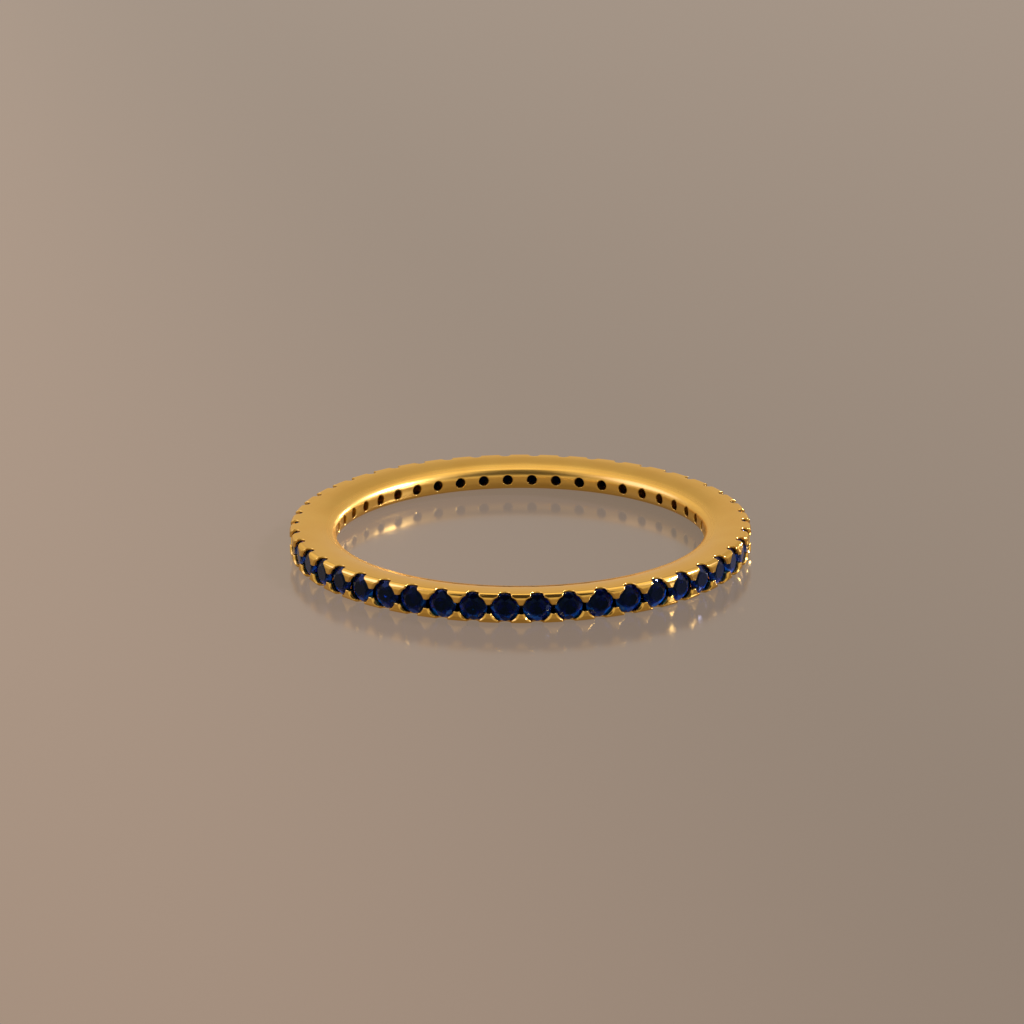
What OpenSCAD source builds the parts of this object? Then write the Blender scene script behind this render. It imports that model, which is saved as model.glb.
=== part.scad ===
// A full eternity ring: a slim polished band with a row of round blue stones
// all the way round its outside. Between two stones stands a pair of shared
// prongs, an upper and a lower one, and round cuts open the side faces over
// the stones.
// Millimetres. The ring lies on its side: +Z is its axis, the lower side face
// is at z = 0 and the axis passes through the origin.

/* [Band] */
// Inner diameter of the finger hole
inner_d = 17.3; // [14.9:0.1:21.3]
// Radial thickness, from the finger hole to the outside of the prongs
band_t = 2.2; // [1.9:0.05:2.6]
// Metal beside each girdle, out to the side face
side_rim = 0.06; // [0.05:0.01:0.2]
// Width of the flat ring on each side face, inside the outer rounding
flat_w = 0.3; // [0.2:0.05:0.5]
// How far each side face falls from its flat ring to the inner rounding
side_fall = 0.16; // [0.1:0.01:0.2]
// Rounding of the inner edges, for comfort
inner_round = 0.42; // [0.2:0.02:0.46]
// Rounding of the outer edges
outer_round = 0.26; // [0.1:0.02:0.34]

/* [Stones] */
// Diameter of each stone at its girdle
stone_d = 1.28; // [1.2:0.02:1.6]
// Width across the table's corners, as a share of the stone's diameter
table_share = 0.57; // [0.5:0.01:0.65]
// Distance of the pavilion's low points from the axis, as a share of the radius
low_share = 0.24; // [0.18:0.01:0.3]
// Angle of the crown's main facets, in degrees
crown_angle = 34; // [28:1:38]
// Angle of the pavilion's main facets, in degrees
pavilion_angle = 41; // [38:1:44]
// Thickness of the girdle
girdle_t = 0.03; // [0.02:0.01:0.06]
// Depth of the table below the outside of the prongs
table_sink = 0.14; // [0.05:0.01:0.18]

/* [Setting] */
// Clearance between a stone and its seat, all round
seat_gap = 0.03; // [0.02:0.005:0.05]
// How far the prongs reach over the edge of a girdle
prong_hold = 0.02; // [0.01:0.005:0.03]
// Bright-cut bevel round the edge of each opening
bright_cut = 0.1; // [0.03:0.01:0.12]
// Least distance between two neighbouring seats
seat_wall = 0.09; // [0.06:0.01:0.4]
// Width of the groove that parts the upper prongs from the lower ones
groove_w = 0.42; // [0.3:0.02:0.52]
// Depth of that groove
groove_depth = 0.6; // [0.4:0.02:0.7]
// Diameter of the hole drilled through to the finger behind each stone
azure_d = 0.5; // [0.3:0.02:0.6]
// Width of the round cut that opens both side faces over each stone
scallop_d = 0.56; // [0.4:0.02:0.7]
// How far that cut reaches in from the outside of the prongs
scallop_depth = 0.46; // [0.3:0.02:0.5]
// Rounding of each prong's corners, beside that cut
prong_round = 0.18; // [0.06:0.02:0.22]

/* [Hidden] */

inner_r = inner_d / 2;
outer_r = inner_r + band_t;
flat_r = outer_r - outer_round - flat_w;
band_w = stone_d + 2 * side_rim;
stone_r = stone_d / 2;
table_r = stone_r * table_share;
crown_h = (stone_r - table_r) * tan(crown_angle);
pavilion_h = stone_r * tan(pavilion_angle);
girdle_r = outer_r - table_sink - crown_h;
bearing_r = stone_r + seat_gap;
least_pitch = 2 * bearing_r + seat_wall;
stone_n = floor(180 / asin(least_pitch / 2 / girdle_r));
stone_pitch = 360 / stone_n;
front = -90;
cut_past = 0.4;
ring_fn = 192;
small_fn = 48;

band_color = "goldenrod";
stone_color = "midnightblue";

// Puts its children at every stone's place, with the stone's axis pointing
// outwards along the radius and the front of the ring between two stones.
module at_each_stone() {
    for (k = [0 : stone_n - 1])
        rotate([0, 0, front + (k + 0.5) * stone_pitch])
            translate([girdle_r, 0, band_w / 2])
                rotate([0, 90, 0])
                    children();
}

// A pair of circles of the cross-section, one on each side of mid-width.
module pair(at_r, up, r) {
    for (side = [-1, 1])
        translate([at_r, side * up])
            circle(r = r, $fn = small_fn);
}

// A block of the cross-section from one radius to another, centred on
// mid-width.
module block(from_r, to_r, w) {
    translate([from_r, -w / 2])
        square([to_r - from_r, w]);
}

// The groove round the outside, a slot with a round floor.
module groove() {
    floor_r = groove_w / 2;
    floor_at = outer_r - groove_depth + floor_r;
    translate([floor_at, 0])
        circle(r = floor_r, $fn = small_fn);
    block(floor_at, outer_r + cut_past, groove_w);
}

// The band's cross-section: x is the radius, y the height from mid-width. From
// its flat ring each side face bends down towards the finger in an arc, which
// runs into the inner rounding. The arc's centre lies under the inner edge of
// the flat ring, and the rounding touches the arc from within.
module section() {
    inner_at = inner_r + inner_round;
    outer_at = outer_r - outer_round;
    fall_w = flat_r - inner_at;
    arc_r = (pow(fall_w, 2) + pow(side_fall, 2)) / (2 * side_fall);
    arc_up = band_w / 2 - arc_r;
    round_up = arc_up + sqrt(pow(arc_r - inner_round, 2) - pow(fall_w, 2));
    touch_r = inner_at - inner_round * fall_w / (arc_r - inner_round);
    difference() {
        union() {
            block(flat_r, outer_at, band_w);
            block(outer_at, outer_r, band_w - 2 * outer_round);
            pair(outer_at, band_w / 2 - outer_round, outer_round);
            intersection_for (side = [-1, 1])
                intersection() {
                    translate([flat_r, side * arc_up])
                        circle(r = arc_r, $fn = ring_fn);
                    block(touch_r, flat_r, band_w);
                }
            block(inner_r, touch_r, 2 * round_up);
            pair(inner_at, round_up, inner_round);
        }
        groove();
    }
}

// What is cut away for one stone, on the stone's own axis: the opening
// between the prongs with its bevelled edge, the bearing round the girdle, the
// cone under the pavilion and the hole through to the finger.
module seat() {
    open_r = stone_r - prong_hold;
    azure_r = azure_d / 2;
    slope = tan(pavilion_angle);
    cone_top = -girdle_t - seat_gap / cos(pavilion_angle) + seat_gap * slope;
    cone_end = cone_top - (bearing_r - azure_r) * slope;
    hold_at = seat_gap + prong_hold * tan(crown_angle);
    outside = outer_r - girdle_r;
    finger_side = inner_r - cut_past - girdle_r;
    rotate_extrude($fn = small_fn)
        polygon([
            [0, outside + cut_past], [open_r + bright_cut + cut_past, outside + cut_past],
            [open_r, outside - bright_cut],
            [open_r, hold_at], [bearing_r, hold_at],
            [bearing_r, cone_top], [azure_r, cone_end],
            [azure_r, finger_side], [0, finger_side]
        ]);
}

// The round cut over one stone, along the finger, through both side faces, and
// the rounding of the two prong corners beside it. In its outline x is the
// height over the girdle and y runs along the row. Each rounding touches the
// outside of the band and the round cut, so its centre lies prong_round inside
// the one and prong_round away from the other.
module scallop() {
    long = band_w + 2 * cut_past;
    translate([long / 2, 0, 0])
        rotate([0, -90, 0])
            linear_extrude(long)
                scallop_outline();
}

module scallop_outline() {
    scallop_at = outer_r - scallop_depth + scallop_d / 2;
    round_at = outer_r - prong_round;
    apart = scallop_d / 2 + prong_round;
    turn = acos((pow(round_at, 2) + pow(scallop_at, 2) - pow(apart, 2)) / (2 * round_at * scallop_at));
    past = outer_r + cut_past;
    translate([-girdle_r, 0]) {
        translate([scallop_at, 0])
            circle(d = scallop_d, $fn = small_fn);
        for (side = [-1, 1])
            difference() {
                centre = round_at * [cos(turn), side * sin(turn)];
                polygon([
                    centre, past * [cos(turn), side * sin(turn)],
                    [past, 0], [scallop_at, 0]
                ]);
                translate(centre)
                    circle(r = prong_round, $fn = small_fn);
            }
    }
}

module band() {
    color(band_color)
        difference() {
            translate([0, 0, band_w / 2])
                rotate([0, 0, front])
                    rotate_extrude($fn = ring_fn)
                        section();
            at_each_stone() seat();
            at_each_stone() scallop();
        }
}

// A round brilliant, table up, with the top of its girdle at z = 0. Its rings
// of points are the table's corners, the star points, both edges of the
// girdle, the low points of the pavilion, and the culet. The star points and
// the low points lie in the planes of the main facets.
main_n = 8;
edge_n = 2 * main_n;
main_a = 360 / main_n;
half_a = main_a / 2;
star_r = (table_r + stone_r) / 2;
low_r = stone_r * low_share;

function ring(n, r, z, turn = 0) =
    [for (i = [0 : n - 1]) [r * cos(turn + i * 360 / n), r * sin(turn + i * 360 / n), z]];
function crown_z(x) = crown_h * (stone_r - x) / (stone_r - table_r);
function pavilion_z(x) = -girdle_t - pavilion_h * (1 - x / stone_r);

brilliant_points = concat(
    ring(main_n, table_r, crown_h),
    ring(main_n, star_r, crown_z(star_r * cos(half_a)), half_a),
    ring(edge_n, stone_r, 0),
    ring(edge_n, stone_r, -girdle_t),
    ring(main_n, low_r, pavilion_z(low_r * cos(half_a)), half_a),
    [[0, 0, pavilion_z(0)]]
);

// The number of a point, from its place in its ring.
function table_i(i) = i % main_n;
function star_i(i) = main_n + (i + main_n) % main_n;
function upper_i(i) = 2 * main_n + i % edge_n;
function lower_i(i) = 2 * main_n + edge_n + i % edge_n;
function low_i(i) = 2 * (main_n + edge_n) + (i + main_n) % main_n;
culet_i = len(brilliant_points) - 1;

mains = [0 : main_n - 1];
brilliant_faces = concat(
    [[for (i = [main_n - 1 : -1 : 0]) table_i(i)]],
    [for (i = mains) [table_i(i), table_i(i + 1), star_i(i)]],
    [for (i = mains) [table_i(i), star_i(i), upper_i(2 * i), star_i(i - 1)]],
    [for (i = mains) [star_i(i), upper_i(2 * i + 1), upper_i(2 * i)]],
    [for (i = mains) [star_i(i), upper_i(2 * i + 2), upper_i(2 * i + 1)]],
    [for (i = [0 : edge_n - 1]) [upper_i(i), upper_i(i + 1), lower_i(i + 1), lower_i(i)]],
    [for (i = mains) [low_i(i), lower_i(2 * i), lower_i(2 * i + 1)]],
    [for (i = mains) [low_i(i), lower_i(2 * i + 1), lower_i(2 * i + 2)]],
    [for (i = mains) [culet_i, low_i(i - 1), lower_i(2 * i), low_i(i)]]
);

module brilliant() {
    polyhedron(points = brilliant_points, faces = brilliant_faces);
}

module stones() {
    color(stone_color)
        at_each_stone() brilliant();
}

band();
stones();
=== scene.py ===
"""A slim gold eternity ring with blue stones, dressed and lit on a plain tabletop."""

import logging
import math
from collections.abc import Iterable, Mapping
from dataclasses import dataclass

import bpy
from mathutils import Matrix, Vector


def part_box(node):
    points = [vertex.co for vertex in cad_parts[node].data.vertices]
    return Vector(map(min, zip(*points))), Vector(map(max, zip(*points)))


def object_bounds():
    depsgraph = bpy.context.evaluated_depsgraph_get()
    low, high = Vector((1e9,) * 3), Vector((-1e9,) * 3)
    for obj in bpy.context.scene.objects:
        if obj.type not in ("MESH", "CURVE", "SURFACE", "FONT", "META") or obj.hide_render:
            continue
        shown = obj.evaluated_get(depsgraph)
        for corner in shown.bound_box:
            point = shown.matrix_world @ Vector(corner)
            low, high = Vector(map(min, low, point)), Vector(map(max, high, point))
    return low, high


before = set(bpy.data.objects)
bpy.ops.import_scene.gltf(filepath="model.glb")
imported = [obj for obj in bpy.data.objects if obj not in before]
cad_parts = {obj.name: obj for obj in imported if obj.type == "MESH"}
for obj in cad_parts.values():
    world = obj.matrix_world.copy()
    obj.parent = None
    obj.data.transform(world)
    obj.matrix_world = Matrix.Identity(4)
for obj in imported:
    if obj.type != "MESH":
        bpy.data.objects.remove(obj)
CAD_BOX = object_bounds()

MM = 0.001
ZENITH = 90.0
HALF_TURN = 180.0

log = logging.getLogger("ring")


def linear(hex_colour: str) -> tuple[float, float, float, float]:
    """Turns an sRGB hex colour into linear light, by the curve of the sRGB standard.

    Args:
        hex_colour: six hex digits, such as "d8a45c".

    Returns:
        Linear red, green and blue, and an alpha of 1.
    """
    shares = [int(hex_colour[i : i + 2], 16) / 255 for i in (0, 2, 4)]
    light = [c / 12.92 if c <= 0.04045 else ((c + 0.055) / 1.055) ** 2.4 for c in shares]
    return (*light, 1.0)


def feed(tree: bpy.types.NodeTree, node: bpy.types.Node, sources: Mapping | Iterable) -> None:
    """Gives a node's inputs their links and values.

    Args:
        tree: the node tree that the node is in.
        node: the node.
        sources: what each input gets, by the inputs' names, or in the order of the inputs that
            are in use. It is an output socket, a node whose first output in use is meant, or the
            input's own value.
    """
    if isinstance(sources, Mapping):
        pairs = [(node.inputs[name], source) for name, source in sources.items()]
    else:
        pairs = list(zip([socket for socket in node.inputs if socket.enabled], sources))
    for socket, source in pairs:
        if isinstance(source, bpy.types.Node):
            source = next(output for output in source.outputs if output.enabled)
        if isinstance(source, bpy.types.NodeSocket):
            tree.links.new(source, socket)
        else:
            socket.default_value = source


def add_node(
    tree: bpy.types.NodeTree,
    kind: str,
    sources: Mapping | Iterable = (),
    **settings: object,
) -> bpy.types.Node:
    """Adds one node with its settings and links.

    Args:
        tree: the node tree that it goes into.
        kind: the node's type name.
        sources: what its inputs get, in the way that feed takes it.
        **settings: the node's own properties.

    Returns:
        The new node.
    """
    node = tree.nodes.new(kind)
    for name, value in settings.items():
        setattr(node, name, value)
    feed(tree, node, sources)
    return node


def soft_region(tree: bpy.types.NodeTree, edges: Iterable[tuple]) -> bpy.types.Node:
    """Adds the share of a region with soft edges: 1 inside all of them, 0 outside any of them.

    It is the product of one smooth step for each edge.

    Args:
        tree: the node tree that it goes into.
        edges: for each edge, the measure that tells where a point is, and the values that the
            measure has where the edge begins outside and where it ends inside.

    Returns:
        The node that gives the share.
    """
    share = 1.0
    for edge in edges:
        step = add_node(tree, "ShaderNodeMapRange", edge, interpolation_type="SMOOTHSTEP")
        share = add_node(tree, "ShaderNodeMath", [share, step], operation="MULTIPLY")
    return share


def new_material(name: str) -> tuple[bpy.types.Material, bpy.types.NodeTree, bpy.types.Node]:
    """Makes a material with only its shader and its output.

    Args:
        name: the finish's own name.

    Returns:
        The material, its node tree and its shader node.
    """
    material = bpy.data.materials.new(name)
    material.use_nodes = True
    tree = material.node_tree
    return material, tree, tree.nodes["Principled BSDF"]


def wear(obj: bpy.types.Object, material: bpy.types.Material) -> None:
    """Gives an object one material in place of all that it had."""
    obj.data.materials.clear()
    obj.data.materials.append(material)


@dataclass(frozen=True)
class GoldPlate:
    """Gold plate on silver, cast, filed and polished on a wheel.

    The eye gets a warm yellow mirror whose reflections are a little soft, with fine lines that the
    wheel left along the band, edges that the polishing has rounded, a satin inside that only an
    emery stick has reached, and painted shade in the groove, which is coloured dark as little
    light reaches it.
    """

    # The plate is a little deeper in colour in clouds, and takes the tint at a glancing look.
    colour: str = "f8cd6a"
    deep_colour: str = "eebb56"
    cloud_mm: float = 1.6
    cloud_detail: float = 2.0
    tint: str = "fff2dc"

    # The wheel's lines, whose roughness goes from gloss to dull where their noise goes from
    # line_from to line_to. Real ones are some hundredths of a millimetre apart, too fine to show,
    # so they are drawn coarser. Along the band they are 1 / line_share times as long as across.
    line_mm: float = 0.1
    line_detail: float = 3.0
    line_share: float = 0.08
    line_depth_mm: float = 0.002
    line_from: float = 0.3
    line_to: float = 0.8
    gloss: float = 0.05
    dull: float = 0.16

    # The satin of the inner wall, which starts at one radius and is full at the other.
    satin: float = 0.28
    satin_from_mm: float = 9.55
    satin_to_mm: float = 9.0

    # The edges that the polishing has rounded.
    edge_mm: float = 0.08
    edge_samples: int = 8

    # The painted shade in the groove, coloured dark where little light reaches: how far it goes up
    # and down from the band's middle, the depths below the outside at which it starts and ends,
    # and how softly.
    groove_shade_colour: str = "0d0c12"
    groove_half_mm: float = 0.24
    groove_from_mm: float = 0.16
    groove_to_mm: float = 1.1
    groove_soft_mm: float = 0.06

    def material(self, outer_r: float, middle_z: float) -> bpy.types.Material:
        """Builds the finish.

        The lines run round the band because their noise is read in (radius, arc, height), with the
        arc shortened to line_share.

        Args:
            outer_r: the band's outer radius, in metres.
            middle_z: the height of the band's middle, in metres.

        Returns:
            The material.
        """
        material, tree, shader = new_material("polished_gold_plate")
        at = add_node(tree, "ShaderNodeTexCoord").outputs["Object"]
        x, y, z = add_node(tree, "ShaderNodeSeparateXYZ", [at]).outputs
        level = add_node(tree, "ShaderNodeCombineXYZ", [x, y])
        radius = add_node(tree, "ShaderNodeVectorMath", [level], operation="LENGTH")
        angle = add_node(tree, "ShaderNodeMath", [y, x], operation="ARCTAN2")
        turn = [angle, outer_r * self.line_share]
        arc = add_node(tree, "ShaderNodeMath", turn, operation="MULTIPLY")
        along = add_node(tree, "ShaderNodeCombineXYZ", [radius, arc, z])
        grain = {"Vector": along, "Scale": 1 / (self.line_mm * MM), "Detail": self.line_detail}
        lines = add_node(tree, "ShaderNodeTexNoise", grain)
        drift = {"Vector": at, "Scale": 1 / (self.cloud_mm * MM), "Detail": self.cloud_detail}
        clouds = add_node(tree, "ShaderNodeTexNoise", drift)
        plate = [clouds, linear(self.colour), linear(self.deep_colour)]
        polished = add_node(tree, "ShaderNodeMix", plate, data_type="RGBA")
        # The groove is coloured dark: painted shade, standing in for the shade in the recess.
        groove = self.groove(tree, radius, z, outer_r, middle_z)
        darkened = [groove, polished, linear(self.groove_shade_colour)]
        seen = add_node(tree, "ShaderNodeMix", darkened, data_type="RGBA")
        haze = [lines, self.line_from, self.line_to, self.gloss, self.dull]
        wheel = add_node(tree, "ShaderNodeMapRange", haze, interpolation_type="SMOOTHSTEP")
        emery = [radius, self.satin_from_mm * MM, self.satin_to_mm * MM, 0.0, self.satin]
        inside = add_node(tree, "ShaderNodeMapRange", emery, interpolation_type="SMOOTHSTEP")
        rough = add_node(tree, "ShaderNodeMath", [wheel, inside], operation="MAXIMUM")
        rounding = {"Radius": self.edge_mm * MM}
        edge = add_node(tree, "ShaderNodeBevel", rounding, samples=self.edge_samples)
        relief = {"Height": lines, "Distance": self.line_depth_mm * MM, "Normal": edge}
        feed(tree, shader, {
            "Base Color": seen,
            "Metallic": 1.0,
            "Roughness": rough,
            "Specular Tint": linear(self.tint),
            "Normal": add_node(tree, "ShaderNodeBump", relief),
        })
        return material

    def groove(
        self,
        tree: bpy.types.NodeTree,
        radius: bpy.types.Node,
        height: bpy.types.NodeSocket,
        outer_r: float,
        middle_z: float,
    ) -> bpy.types.Node:
        """Adds the share of painted shade in the groove, 1 in the groove and 0 outside it.

        Args:
            tree: the material's node tree.
            radius: the node with a point's distance from the ring's axis.
            height: the socket with a point's height.
            outer_r: the band's outer radius, in metres.
            middle_z: the height of the band's middle, in metres.

        Returns:
            The node that gives the share.
        """
        above = add_node(tree, "ShaderNodeMath", [height, middle_z], operation="SUBTRACT")
        off_middle = add_node(tree, "ShaderNodeMath", [above], operation="ABSOLUTE")
        half, soft = self.groove_half_mm * MM, self.groove_soft_mm * MM
        top, floor = outer_r - self.groove_from_mm * MM, outer_r - self.groove_to_mm * MM
        return soft_region(tree, (
            (off_middle, half + soft, half),
            (radius, top, top - soft),
            (radius, floor - soft, floor),
        ))


@dataclass(frozen=True)
class RowPlace:
    """Where the stones are: how many, and three measures of the row in metres.

    girdle_r is the radius on which their girdles lie, stone_r the radius of one stone, and
    middle_z the row's height.
    """

    count: int
    girdle_r: float
    stone_r: float
    middle_z: float


@dataclass(frozen=True)
class Sapphire:
    """Synthetic sapphire, cut and polished, which swallows nearly all light but deep blue.

    The eye gets stones with a black heart, which is painted shade, facets round it of which some
    flash deep blue, a painted glint that the lamps light, and some stay black, a dark sharp gloss
    on each facet, and a blue veil at a glancing look, a painted sheen that stands in for the light
    that has crossed the crown and comes out.
    """

    # The blue of the facets, in zones of growth: paler where their noise goes from zone_from to
    # zone_to.
    edge_colour: str = "0054c8"
    pale_colour: str = "2280ff"
    zone_mm: float = 0.7
    zone_detail: float = 2.0
    zone_from: float = 0.4
    zone_to: float = 0.7

    # The heart, a painted shade, in shares of a stone's radius from its middle. Its middle sits
    # heart_lift over the stone's axis, so that the painted light round it is wider low down,
    # because light from above comes out low in a stone.
    heart_shade_colour: str = "040d26"
    heart_from: float = 0.95
    heart_to: float = 0.6
    heart_lift: float = 0.25

    # How clear a stone is, and how clear where a facet flashes and shows its blue. The flash is a
    # painted glint: a diffuse blue, kept out of the heart, that the lamps and the table light. A
    # facet's flash is noise read at the direction that it faces, so its scale has no size in
    # millimetres.
    clear: float = 0.93
    flash_clear: float = 0.3
    flash_from: float = 0.5
    flash_to: float = 0.64
    facet_scale: float = 8.0

    # The surface: its gloss, and the veil at a glancing look, a painted sheen that stands in for
    # light coming out of the crown.
    ior: float = 1.77
    gloss: float = 0.0
    gloss_colour: str = "4a668c"
    veil: float = 0.5
    veil_spread: float = 0.4
    veil_colour: str = "1c60b4"

    # The inside, which swallows light on its way.
    passed_colour: str = "00e0f9"
    swallowed_per_m: float = 9000.0

    def material(self, row: RowPlace) -> bpy.types.Material:
        """Builds the finish: clear corundum with zones of growth, coloured through its depth, with
        painted shade in each heart, painted glints and a painted sheen.

        The facets are flat and crisp because the shader takes their true normal.

        Args:
            row: where the stones are.

        Returns:
            The material.
        """
        material, tree, shader = new_material("cut_sapphire")
        at = add_node(tree, "ShaderNodeTexCoord").outputs["Object"]
        share = self.from_heart(tree, at, row)
        # The heart is painted shade: each stone's middle is coloured dark, set a little high.
        heart = soft_region(tree, [(share, self.heart_from, self.heart_to)])
        growth = {"Vector": at, "Scale": 1 / (self.zone_mm * MM), "Detail": self.zone_detail}
        zoning = add_node(tree, "ShaderNodeTexNoise", growth)
        zones = soft_region(tree, [(zoning, self.zone_from, self.zone_to)])
        blues = [zones, linear(self.edge_colour), linear(self.pale_colour)]
        tint = add_node(tree, "ShaderNodeMix", blues, data_type="RGBA")
        darkened = [heart, tint, linear(self.heart_shade_colour)]
        facing = add_node(tree, "ShaderNodeNewGeometry").outputs["True Normal"]
        chance = {"Vector": facing, "Scale": self.facet_scale, "Detail": 0.0}
        facet = add_node(tree, "ShaderNodeTexNoise", chance)
        # The flash is a painted glint: facets picked by noise turn partly diffuse blue.
        flash = soft_region(tree, (
            (facet, self.flash_from, self.flash_to),
            (share, self.heart_to, self.heart_from),
        ))
        lit = [flash, 0.0, 1.0, self.clear, self.flash_clear]
        feed(tree, shader, {
            "Base Color": add_node(tree, "ShaderNodeMix", darkened, data_type="RGBA"),
            "Transmission Weight": add_node(
                tree, "ShaderNodeMapRange", lit, interpolation_type="SMOOTHSTEP"
            ),
            "Normal": facing,
            "IOR": self.ior,
            "Roughness": self.gloss,
            "Specular Tint": linear(self.gloss_colour),
            # The sheen is painted light: a blue veil in place of light coming out of the crown.
            "Sheen Weight": self.veil,
            "Sheen Roughness": self.veil_spread,
            "Sheen Tint": linear(self.veil_colour),
        })
        depth = {"Color": linear(self.passed_colour), "Density": self.swallowed_per_m}
        body = add_node(tree, "ShaderNodeVolumeAbsorption", depth)
        feed(tree, tree.nodes["Material Output"], {"Volume": body})
        return material

    def from_heart(
        self,
        tree: bpy.types.NodeTree,
        at: bpy.types.NodeSocket,
        row: RowPlace,
    ) -> bpy.types.Node:
        """Adds a point's distance from the heart of its stone, as a share of the stone's radius.

        It is the length of two shares. One is along the row: the angle round the ring, counted in
        stones, leaves a fraction that is a half on each stone's own axis. The other is the height
        over the heart's middle.

        Args:
            tree: the material's node tree.
            at: the socket with the point's place.
            row: where the stones are.

        Returns:
            The node that gives the distance.
        """
        x, y, z = add_node(tree, "ShaderNodeSeparateXYZ", [at]).outputs
        angle = add_node(tree, "ShaderNodeMath", [y, x], operation="ARCTAN2")
        turn = [angle, row.count / math.tau, 0.5]
        stones = add_node(tree, "ShaderNodeMath", turn, operation="MULTIPLY_ADD")
        place = add_node(tree, "ShaderNodeMath", [stones], operation="FRACT")
        pitch = math.tau * row.girdle_r / row.count / row.stone_r
        shift = [place, pitch, -pitch / 2]
        aside = add_node(tree, "ShaderNodeMath", shift, operation="MULTIPLY_ADD")
        rise = [z, 1 / row.stone_r, -row.middle_z / row.stone_r - self.heart_lift]
        above = add_node(tree, "ShaderNodeMath", rise, operation="MULTIPLY_ADD")
        across = add_node(tree, "ShaderNodeCombineXYZ", [aside, above])
        return add_node(tree, "ShaderNodeVectorMath", [across], operation="LENGTH")


@dataclass(frozen=True)
class Tabletop:
    """A greige slab of opal acrylic, cast and polished, with a glow of painted light in place of a
    lamp below it.

    The eye gets a faint mirror of the ring, and no shadow, because the painted glow stands in for
    light that comes through the slab. The glow is painted a little stronger at the left.
    """

    # The slab's own colour and its surface.
    colour: str = "3b3129"
    mirror_tint: str = "fff0d0"
    gloss: float = 0.13
    ior: float = 1.66

    # The painted glow that stands in for light coming through, and the share that its milk takes
    # from the mirror.
    near_glow_colour: str = "937f6e"
    far_glow_colour: str = "786b5e"
    milk: float = 0.35

    # The painted glow fades from near_mm to far_mm, measured as y plus slant times x.
    near_mm: float = -130.0
    far_mm: float = 55.0
    slant: float = 4.0

    def material(self) -> bpy.types.Material:
        """Builds the finish: a soft glow of painted light under a weak mirror, of which the milk
        takes a share.

        Returns:
            The material.
        """
        material, tree, shader = new_material("opal_acrylic")
        at = add_node(tree, "ShaderNodeTexCoord").outputs["Object"]
        slanted = [at, (self.slant, 1.0, 0.0)]
        away = add_node(tree, "ShaderNodeVectorMath", slanted, operation="DOT_PRODUCT")
        # The glow is painted light, brighter near the ring and at the left.
        fade = soft_region(tree, [(away, self.near_mm * MM, self.far_mm * MM)])
        lights = [fade, linear(self.near_glow_colour), linear(self.far_glow_colour)]
        glow = add_node(tree, "ShaderNodeMix", lights, data_type="RGBA")
        feed(tree, shader, {
            "Base Color": linear(self.colour),
            "Specular Tint": linear(self.mirror_tint),
            "Roughness": self.gloss,
            "IOR": self.ior,
            "Emission Color": glow,
            "Emission Strength": 1.0,
        })
        milky = add_node(tree, "ShaderNodeEmission", {"Color": glow})
        both = add_node(tree, "ShaderNodeMixShader", [self.milk, shader, milky])
        feed(tree, tree.nodes["Material Output"], {"Surface": both})
        return material


@dataclass
class Band:
    """The band with its prongs and seats, one casting."""

    node: str = "band"
    finish: GoldPlate = GoldPlate()

    def build(self) -> bpy.types.Object:
        """Dresses the casting.

        Returns:
            The casting.
        """
        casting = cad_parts[self.node]
        low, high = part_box(self.node)
        wear(casting, self.finish.material(high.x, (low.z + high.z) / 2))
        return casting


@dataclass
class StoneRow:
    """The row of round brilliants, whose girdles lie sink_mm below the outside of the prongs."""

    node: str = "stones"
    count: int = 46
    stone_mm: float = 1.28
    sink_mm: float = 0.326
    finish: Sapphire = Sapphire()

    def build(self) -> bpy.types.Object:
        """Dresses the stones.

        Returns:
            The stones, which are one object.
        """
        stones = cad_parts[self.node]
        low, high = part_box(self.node)
        girdle_r = CAD_BOX[1].y - self.sink_mm * MM
        row = RowPlace(self.count, girdle_r, self.stone_mm * MM / 2, (low.z + high.z) / 2)
        wear(stones, self.finish.material(row))
        return stones


@dataclass(frozen=True)
class Panel:
    """One panel of the light tent, brighter or darker than the tent's cloth.

    Its place is given in degrees seen from the ring: azimuth 0 is straight back and 90 to the
    right, and low and high are heights over the table. A half_width of HALF_TURN goes all round,
    and a high of ZENITH reaches the top. Past its edges the panel fades over soft degrees.
    """

    azimuth: float
    half_width: float
    low: float
    high: float
    soft: float
    strength: float
    colour: str = "fff0e0"

    def cover(self, tree: bpy.types.NodeTree, towards: bpy.types.NodeSocket) -> bpy.types.Node:
        """Adds the panel's cover: 1 on it, 0 off it.

        Its edges are measured by the sine of the height and by the cosine of the angle from the
        azimuth.

        Args:
            tree: the world's node tree.
            towards: the socket with the direction seen.

        Returns:
            The node that gives the cover.
        """
        x, y, z = add_node(tree, "ShaderNodeSeparateXYZ", [towards]).outputs
        low, high, soft = (math.radians(v) for v in (self.low, self.high, self.soft))
        edges = [(z, math.sin(low - soft), math.sin(low))]
        if self.high < ZENITH:
            edges.append((z, math.sin(high + soft), math.sin(high)))
        if self.half_width < HALF_TURN:
            turn, half = math.radians(self.azimuth), math.radians(self.half_width)
            level = add_node(tree, "ShaderNodeCombineXYZ", [x, y])
            unit = add_node(tree, "ShaderNodeVectorMath", [level], operation="NORMALIZE")
            facing = [unit, (math.sin(turn), math.cos(turn), 0.0)]
            cosine = add_node(tree, "ShaderNodeVectorMath", facing, operation="DOT_PRODUCT")
            edges.append((cosine, math.cos(half + soft), math.cos(half)))
        return soft_region(tree, edges)


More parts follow.
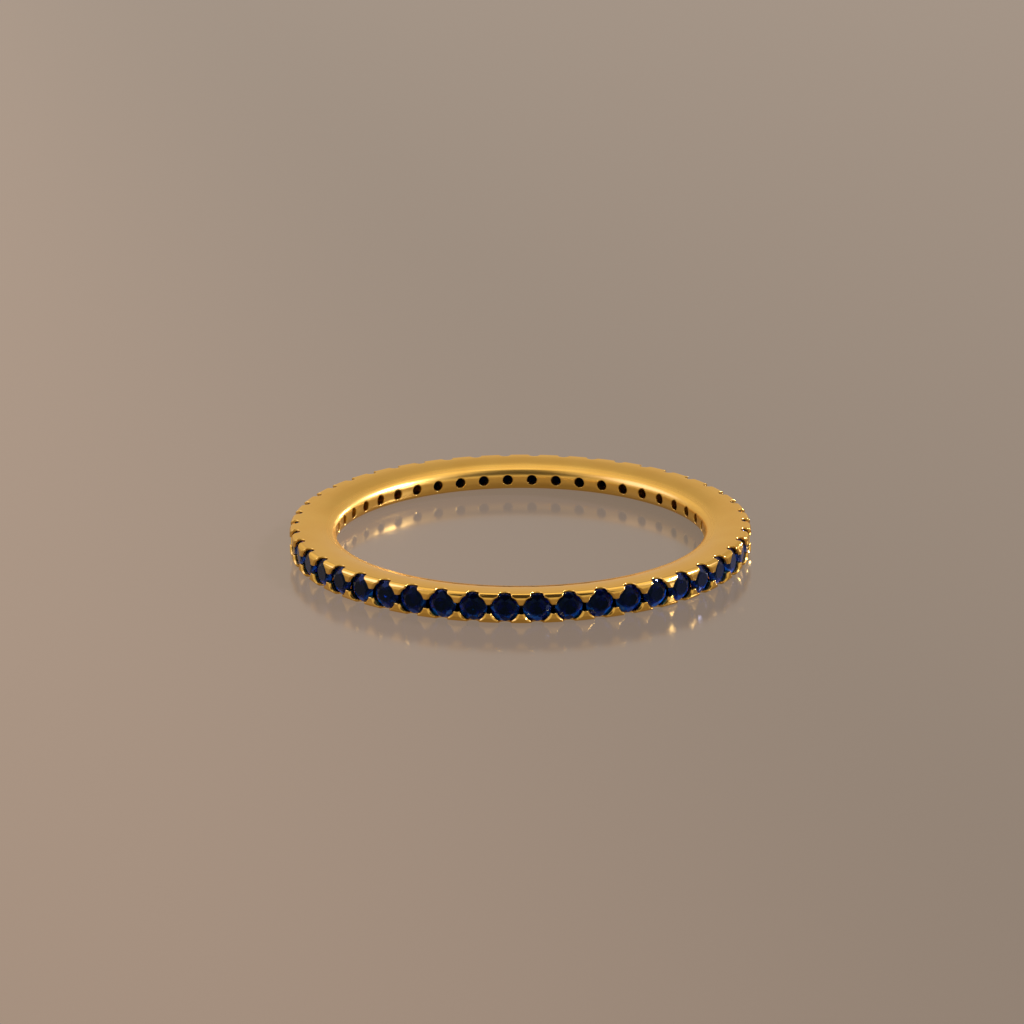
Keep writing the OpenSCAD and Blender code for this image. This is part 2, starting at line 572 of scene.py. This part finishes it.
@dataclass(frozen=True)
class Lamp:
    """One small square lamp, placed by degrees as a Panel is, with its height over the table."""

    name: str
    azimuth: float
    height: float
    side_m: float
    power_w: float
    colour: str = "d4d6ff"
    distance_m: float = 0.46

    def hang(self) -> None:
        """Hangs the lamp so that it points at the ring."""
        turn, rise = math.radians(self.azimuth), math.radians(self.height)
        level = math.cos(rise)
        towards = Vector((level * math.sin(turn), level * math.cos(turn), math.sin(rise)))
        data = bpy.data.lights.new(self.name, "AREA")
        data.size = self.side_m
        data.energy = self.power_w
        data.color = linear(self.colour)[:3]
        lamp = bpy.data.objects.new(self.name, data)
        lamp.location = towards * self.distance_m
        lamp.rotation_euler = (-towards).to_track_quat("-Z", "Y").to_euler()
        bpy.context.scene.collection.objects.link(lamp)


@dataclass
class Studio:
    """The tabletop and the light round the ring.

    The panels lie over one another in their order, the last on top.
    """

    table_side_m: float = 3.0
    table_finish: Tabletop = Tabletop()
    tent_colour: str = "fff0e0"
    tent_strength: float = 0.66
    panels: tuple[Panel, ...] = (
        # The back of the tent, dim low down and bright high up, and its left corner.
        Panel(azimuth=0, half_width=60, low=26, high=34, soft=8, strength=0.54),
        Panel(azimuth=0, half_width=70, low=50, high=74, soft=12, strength=1.2),
        Panel(azimuth=-39, half_width=14, low=34, high=58, soft=20, strength=0.95),
        # The bright panels at the left and the right, which start above what the table mirrors.
        Panel(azimuth=-84, half_width=20, low=28, high=54, soft=9, strength=3.1, colour="c4c0ff"),
        Panel(azimuth=78, half_width=14, low=26, high=48, soft=9, strength=2.3, colour="d8d0ff"),
        # The dark top, and the dark over the camera.
        Panel(azimuth=0, half_width=HALF_TURN, low=78, high=ZENITH, soft=3, strength=0.06),
        Panel(azimuth=176, half_width=44, low=32, high=ZENITH, soft=8, strength=0.06),
    )
    # The lamps that put the small bright points on prongs and facets.
    lamps: tuple[Lamp, ...] = (
        Lamp("right_lamp", azimuth=77, height=39, side_m=0.07, power_w=3.2),
        Lamp("low_right_lamp", azimuth=101, height=22, side_m=0.06, power_w=0.3),
        Lamp("back_right_lamp", azimuth=38, height=11, side_m=0.03, power_w=0.4),
    )

    def build(self) -> bpy.types.Object:
        """Lays the tabletop and sets the light.

        Returns:
            The tabletop.
        """
        top = self.lay_table()
        self.light_tent()
        for lamp in self.lamps:
            lamp.hang()
        return top

    def lay_table(self) -> bpy.types.Object:
        """Makes the flat tabletop under the ring, as one large square.

        Returns:
            The tabletop.
        """
        half = self.table_side_m / 2
        mesh = bpy.data.meshes.new("tabletop")
        corners = [(-half, -half, 0), (half, -half, 0), (half, half, 0), (-half, half, 0)]
        mesh.from_pydata(corners, [], [(0, 1, 2, 3)])
        top = bpy.data.objects.new("tabletop", mesh)
        bpy.context.scene.collection.objects.link(top)
        wear(top, self.table_finish.material())
        return top

    def light_tent(self) -> None:
        """Lights the scene from all round, with panels that are brighter or darker."""
        world = bpy.data.worlds.new("light_tent")
        bpy.context.scene.world = world
        world.use_nodes = True
        tree = world.node_tree
        towards = add_node(tree, "ShaderNodeTexCoord").outputs["Generated"]
        light = tuple(self.tent_strength * c for c in linear(self.tent_colour)[:3])
        for panel in self.panels:
            lit = tuple(panel.strength * c for c in linear(panel.colour)[:3])
            over = [panel.cover(tree, towards), light, lit]
            light = add_node(tree, "ShaderNodeMix", over, data_type="VECTOR")
        feed(tree, tree.nodes["Background"], {"Color": light})


@dataclass
class PhotoCamera:
    """The photograph's camera, low in front of the ring, with its angles in degrees."""

    elevation: float = 17.78
    roll: float = -0.24
    distance_mm: float = 212.1
    picture_px: float = 1024.0
    focal_px: float = 4500.0
    origin_px: tuple[float, float] = (520.4, 549.0)
    sensor_mm: float = 36.0
    clip_start_mm: float = 10.0

    def build(self) -> bpy.types.Object:
        """Places the camera so that the ring's origin falls on origin_px.

        The camera's axes point right and up in the picture and back out of it. Seen from the
        camera the origin lies distance_mm ahead, and aside and below by what origin_px is off the
        picture's middle, so the camera stands at the opposite of that way.

        Returns:
            The camera.
        """
        rise, roll = math.radians(self.elevation), math.radians(self.roll)
        level_right = Vector((1.0, 0.0, 0.0))
        level_up = Vector((0.0, math.sin(rise), math.cos(rise)))
        right = level_right * math.cos(roll) + level_up * math.sin(roll)
        up = level_up * math.cos(roll) - level_right * math.sin(roll)
        back = right.cross(up)
        aside, below = (
            (px - self.picture_px / 2) / self.focal_px * self.distance_mm for px in self.origin_px
        )
        place = (back * self.distance_mm + up * below - right * aside) * MM
        data = bpy.data.cameras.new("photo_camera")
        data.sensor_width = self.sensor_mm
        data.lens = self.focal_px * self.sensor_mm / self.picture_px
        data.clip_start = self.clip_start_mm * MM
        camera = bpy.data.objects.new("photo_camera", data)
        axes = Matrix((right, up, back)).transposed()
        camera.matrix_world = Matrix.Translation(place) @ axes.to_4x4()
        bpy.context.scene.collection.objects.link(camera)
        bpy.context.scene.camera = camera
        return camera


def main() -> None:
    """Builds the ring and its studio, piece by piece."""
    logging.basicConfig(level=logging.INFO, format="%(name)s: %(message)s")
    bpy.context.scene.view_settings.view_transform = "Standard"
    for part in (Band(), StoneRow(), Studio()):
        piece = part.build()
        log.info("%s: %d faces", piece.name, len(piece.data.polygons))
    camera = PhotoCamera().build()
    log.info("%s: lens %.1f mm", camera.name, camera.data.lens)


if __name__ == "__main__":
    main()
